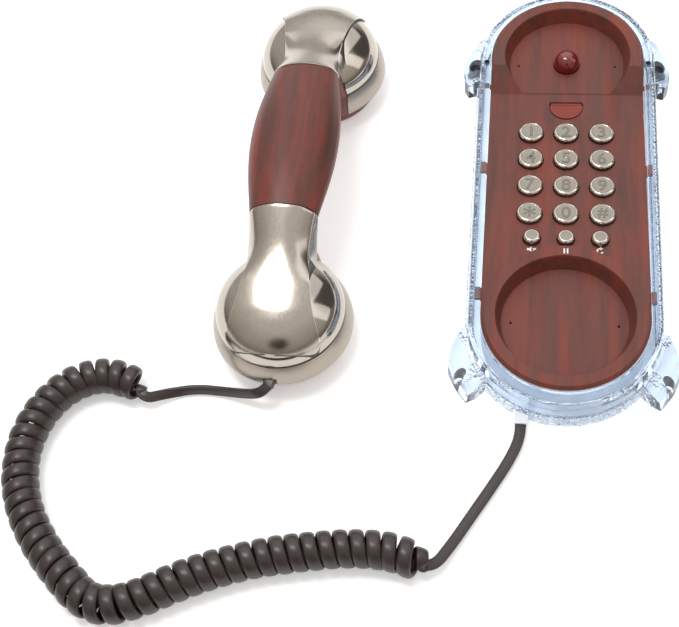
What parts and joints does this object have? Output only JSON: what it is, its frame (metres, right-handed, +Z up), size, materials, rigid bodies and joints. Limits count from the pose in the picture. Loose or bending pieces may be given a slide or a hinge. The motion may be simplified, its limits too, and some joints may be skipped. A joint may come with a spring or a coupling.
{
  "type": "corded landline telephone",
  "caption": "Slim corded landline phone: clear-rimmed base with wood-look panel, round metal keys and cradle cups, dome-ended handset on a curly cord.",
  "frame": {"origin": "centre of the base's footprint on the table, under the middle of the keypad unit, at the face of the centre foot pad", "axes": "+Z up from the table, +Y along the base toward the ear end, +X to the right; the handset lies at -X"},
  "size_m": [0.3012, 0.3472, 0.0636],
  "materials": {
    "wood_look_panel": "satin wood-look lacquer",
    "wood_look_grip": "satin wood-look lacquer",
    "clear_acrylic": "clear, faint blue",
    "bead_silver": "faceted",
    "dark_plastic": "moulded",
    "white_plastic": "moulded",
    "ivory_plastic": "moulded",
    "screw_steel": "zinc",
    "rubber_pad": "matt",
    "circuit_board": "solder mask",
    "silicone_grey": "matt",
    "brass_disc": "plain",
    "key_nickel": "plated, brushed",
    "hook_red": "gloss",
    "tab_red": "satin",
    "brushed_nickel": "plated, brushed",
    "cap_brown": "satin",
    "cord_brown": "satin"
  },
  "bodies": {
    "base": {"face_panel": "wood_look_panel", "clear_housing": "clear_acrylic", "bead_trim": "bead_silver", "bottom_cover": "white_plastic", "cover_screws": "screw_steel", "rubber_feet": "rubber_pad", "ballast_plate": "screw_steel", "keypad_board": "circuit_board", "keypad_membrane": "silicone_grey", "board_screws": "screw_steel", "ringer_disc": "brass_disc", "hook_switch": "dark_plastic", "line_jack": "ivory_plastic", "jack_contacts": "brass_disc", "base_grommet": "white_plastic", "cord_coil": "cord_brown", "cord_lead_base": "cord_brown", "cord_lead_handset": "cord_brown"},
    "handset": {"grip_sleeve": "wood_look_grip", "grip_core": "screw_steel", "ear_shell": "brushed_nickel", "mouth_shell": "brushed_nickel", "ear_neck_web": "cap_brown", "mouth_neck_web": "cap_brown", "ear_skirt": "brushed_nickel", "mouth_skirt": "brushed_nickel", "ear_cap": "cap_brown", "mouth_cap": "cap_brown", "receiver_capsule": "dark_plastic", "microphone_capsule": "dark_plastic", "mouth_weight": "screw_steel", "handset_screws": "screw_steel", "handset_strain_relief": "cord_brown"},
    "hook": {"hook_plunger": "hook_red"},
    "tab": {"hang_tab": "tab_red"},
    "key_1": {"key_1": "key_nickel"},
    "key_2": {"key_2": "key_nickel"},
    "key_3": {"key_3": "key_nickel"},
    "key_4": {"key_4": "key_nickel"},
    "key_5": {"key_5": "key_nickel"},
    "key_6": {"key_6": "key_nickel"},
    "key_7": {"key_7": "key_nickel"},
    "key_8": {"key_8": "key_nickel"},
    "key_9": {"key_9": "key_nickel"},
    "key_star": {"key_star": "key_nickel"},
    "key_0": {"key_0": "key_nickel"},
    "key_hash": {"key_hash": "key_nickel"},
    "key_mute": {"key_mute": "key_nickel"},
    "key_pause": {"key_pause": "key_nickel"},
    "key_redial": {"key_redial": "key_nickel"}
  },
  "joints": [
    {"name": "key_1_press", "type": "slide", "parent": "base", "child": "key_1", "axis": [0, -0.0628, -0.998], "range_m": [0, 0.0012], "stiffness_N_per_m": 600},
    {"name": "key_2_press", "type": "slide", "parent": "base", "child": "key_2", "axis": [0, -0.0628, -0.998], "range_m": [0, 0.0012], "stiffness_N_per_m": 600},
    {"name": "key_3_press", "type": "slide", "parent": "base", "child": "key_3", "axis": [0, -0.0628, -0.998], "range_m": [0, 0.0012], "stiffness_N_per_m": 600},
    {"name": "key_4_press", "type": "slide", "parent": "base", "child": "key_4", "axis": [0, -0.0628, -0.998], "range_m": [0, 0.0012], "stiffness_N_per_m": 600},
    {"name": "key_5_press", "type": "slide", "parent": "base", "child": "key_5", "axis": [0, -0.0628, -0.998], "range_m": [0, 0.0012], "stiffness_N_per_m": 600},
    {"name": "key_6_press", "type": "slide", "parent": "base", "child": "key_6", "axis": [0, -0.0628, -0.998], "range_m": [0, 0.0012], "stiffness_N_per_m": 600},
    {"name": "key_7_press", "type": "slide", "parent": "base", "child": "key_7", "axis": [0, -0.0628, -0.998], "range_m": [0, 0.0012], "stiffness_N_per_m": 600},
    {"name": "key_8_press", "type": "slide", "parent": "base", "child": "key_8", "axis": [0, -0.0628, -0.998], "range_m": [0, 0.0012], "stiffness_N_per_m": 600},
    {"name": "key_9_press", "type": "slide", "parent": "base", "child": "key_9", "axis": [0, -0.0628, -0.998], "range_m": [0, 0.0012], "stiffness_N_per_m": 600},
    {"name": "key_star_press", "type": "slide", "parent": "base", "child": "key_star", "axis": [0, -0.0628, -0.998], "range_m": [0, 0.0012], "stiffness_N_per_m": 600},
    {"name": "key_0_press", "type": "slide", "parent": "base", "child": "key_0", "axis": [0, -0.0628, -0.998], "range_m": [0, 0.0012], "stiffness_N_per_m": 600},
    {"name": "key_hash_press", "type": "slide", "parent": "base", "child": "key_hash", "axis": [0, -0.0628, -0.998], "range_m": [0, 0.0012], "stiffness_N_per_m": 600},
    {"name": "key_mute_press", "type": "slide", "parent": "base", "child": "key_mute", "axis": [0, -0.0628, -0.998], "range_m": [0, 0.0012], "stiffness_N_per_m": 600},
    {"name": "key_pause_press", "type": "slide", "parent": "base", "child": "key_pause", "axis": [0, -0.0628, -0.998], "range_m": [0, 0.0012], "stiffness_N_per_m": 600},
    {"name": "key_redial_press", "type": "slide", "parent": "base", "child": "key_redial", "axis": [0, -0.0628, -0.998], "range_m": [0, 0.0012], "stiffness_N_per_m": 600},
    {"name": "hook_press", "type": "slide", "parent": "base", "child": "hook", "axis": [0, 0, -1], "range_m": [0, 0.005], "stiffness_N_per_m": 120},
    {"name": "tab_hinge", "type": "hinge", "parent": "base", "child": "tab", "pos_m": [0, 0.05074, 0.014], "axis": [1, 0, 0], "range_deg": [-90, 0]},
    {"name": "handset_lift", "type": "slide", "parent": "base", "child": "handset", "axis": [0, 0, 1], "range_m": [0, 0.15]}
  ]
}
